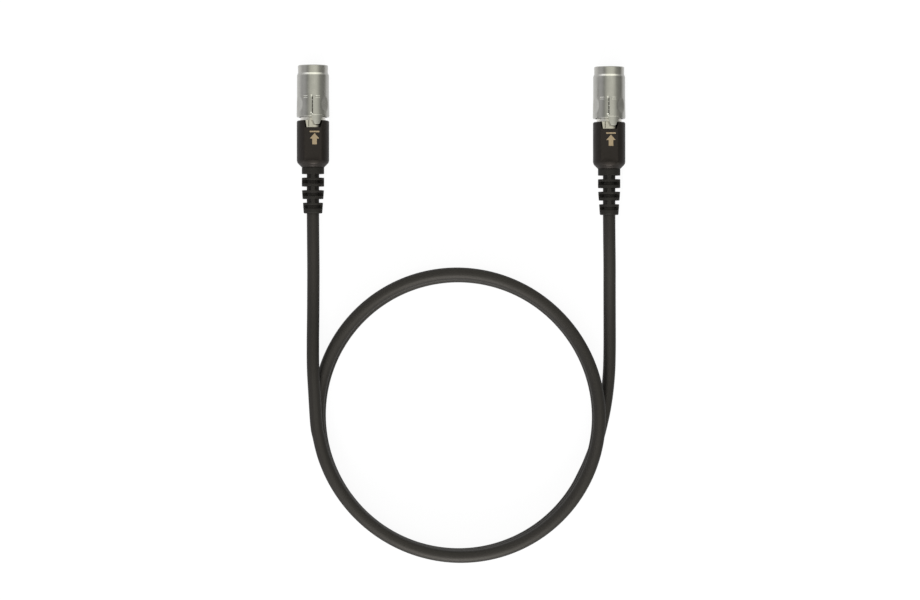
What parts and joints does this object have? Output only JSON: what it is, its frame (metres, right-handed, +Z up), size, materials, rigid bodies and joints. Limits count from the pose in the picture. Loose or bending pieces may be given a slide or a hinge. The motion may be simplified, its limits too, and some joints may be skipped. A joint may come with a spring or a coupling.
{
  "type": "round multi-core cable coil with push-pull plugs",
  "caption": "Thick round black lead laid in flat loops, with a slim push-pull metal plug, grip and slotted strain relief on each end.",
  "frame": {"origin": "on the table under the middle of the two plugs, which stand on the rims of their sleeves", "axes": "+Y along the plugs toward their noses, +X from the left plug to the right one, +Z up from the table"},
  "size_m": [0.171, 0.2575, 0.0202],
  "materials": {
    "plated_metal": "bright plated, finely turned",
    "brushed_metal": "satin plated, brushed along the plug",
    "spring_metal": "drawn spring steel",
    "contact_metal": "gold plated",
    "insulator_plastic": "black moulded",
    "wire_insulation": "coloured core insulation",
    "moulded_plastic": "black satin moulded",
    "relief_rubber": "black matt, finely grained",
    "jacket_rubber": "black matt jacket"
  },
  "bodies": {
    "root": {"left_nose_shell": "plated_metal", "left_insulator": "insulator_plastic", "left_contact_pins": "contact_metal", "left_latch_ring": "spring_metal", "left_return_spring": "spring_metal", "left_rear_shell": "plated_metal", "left_conductors": "wire_insulation", "left_overmould": "moulded_plastic", "left_strain_relief": "relief_rubber", "right_nose_shell": "plated_metal", "right_insulator": "insulator_plastic", "right_contact_pins": "contact_metal", "right_latch_ring": "spring_metal", "right_return_spring": "spring_metal", "right_rear_shell": "plated_metal", "right_conductors": "wire_insulation", "right_overmould": "moulded_plastic", "right_strain_relief": "relief_rubber", "left_cable_leg": "jacket_rubber", "cable_loops": "jacket_rubber", "right_cable_leg": "jacket_rubber"},
    "left_sleeve": {"left_locking_sleeve": "brushed_metal"},
    "right_sleeve": {"right_locking_sleeve": "brushed_metal"}
  },
  "joints": [
    {"name": "left_sleeve_slide", "type": "slide", "parent": "root", "child": "left_sleeve", "axis": [0, -1, 0], "range_m": [0, 0.0015], "stiffness_N_per_m": 800, "deforming": ["left_return_spring"]},
    {"name": "right_sleeve_slide", "type": "slide", "parent": "root", "child": "right_sleeve", "axis": [0, -1, 0], "range_m": [0, 0.0015], "stiffness_N_per_m": 800, "deforming": ["right_return_spring"]}
  ]
}
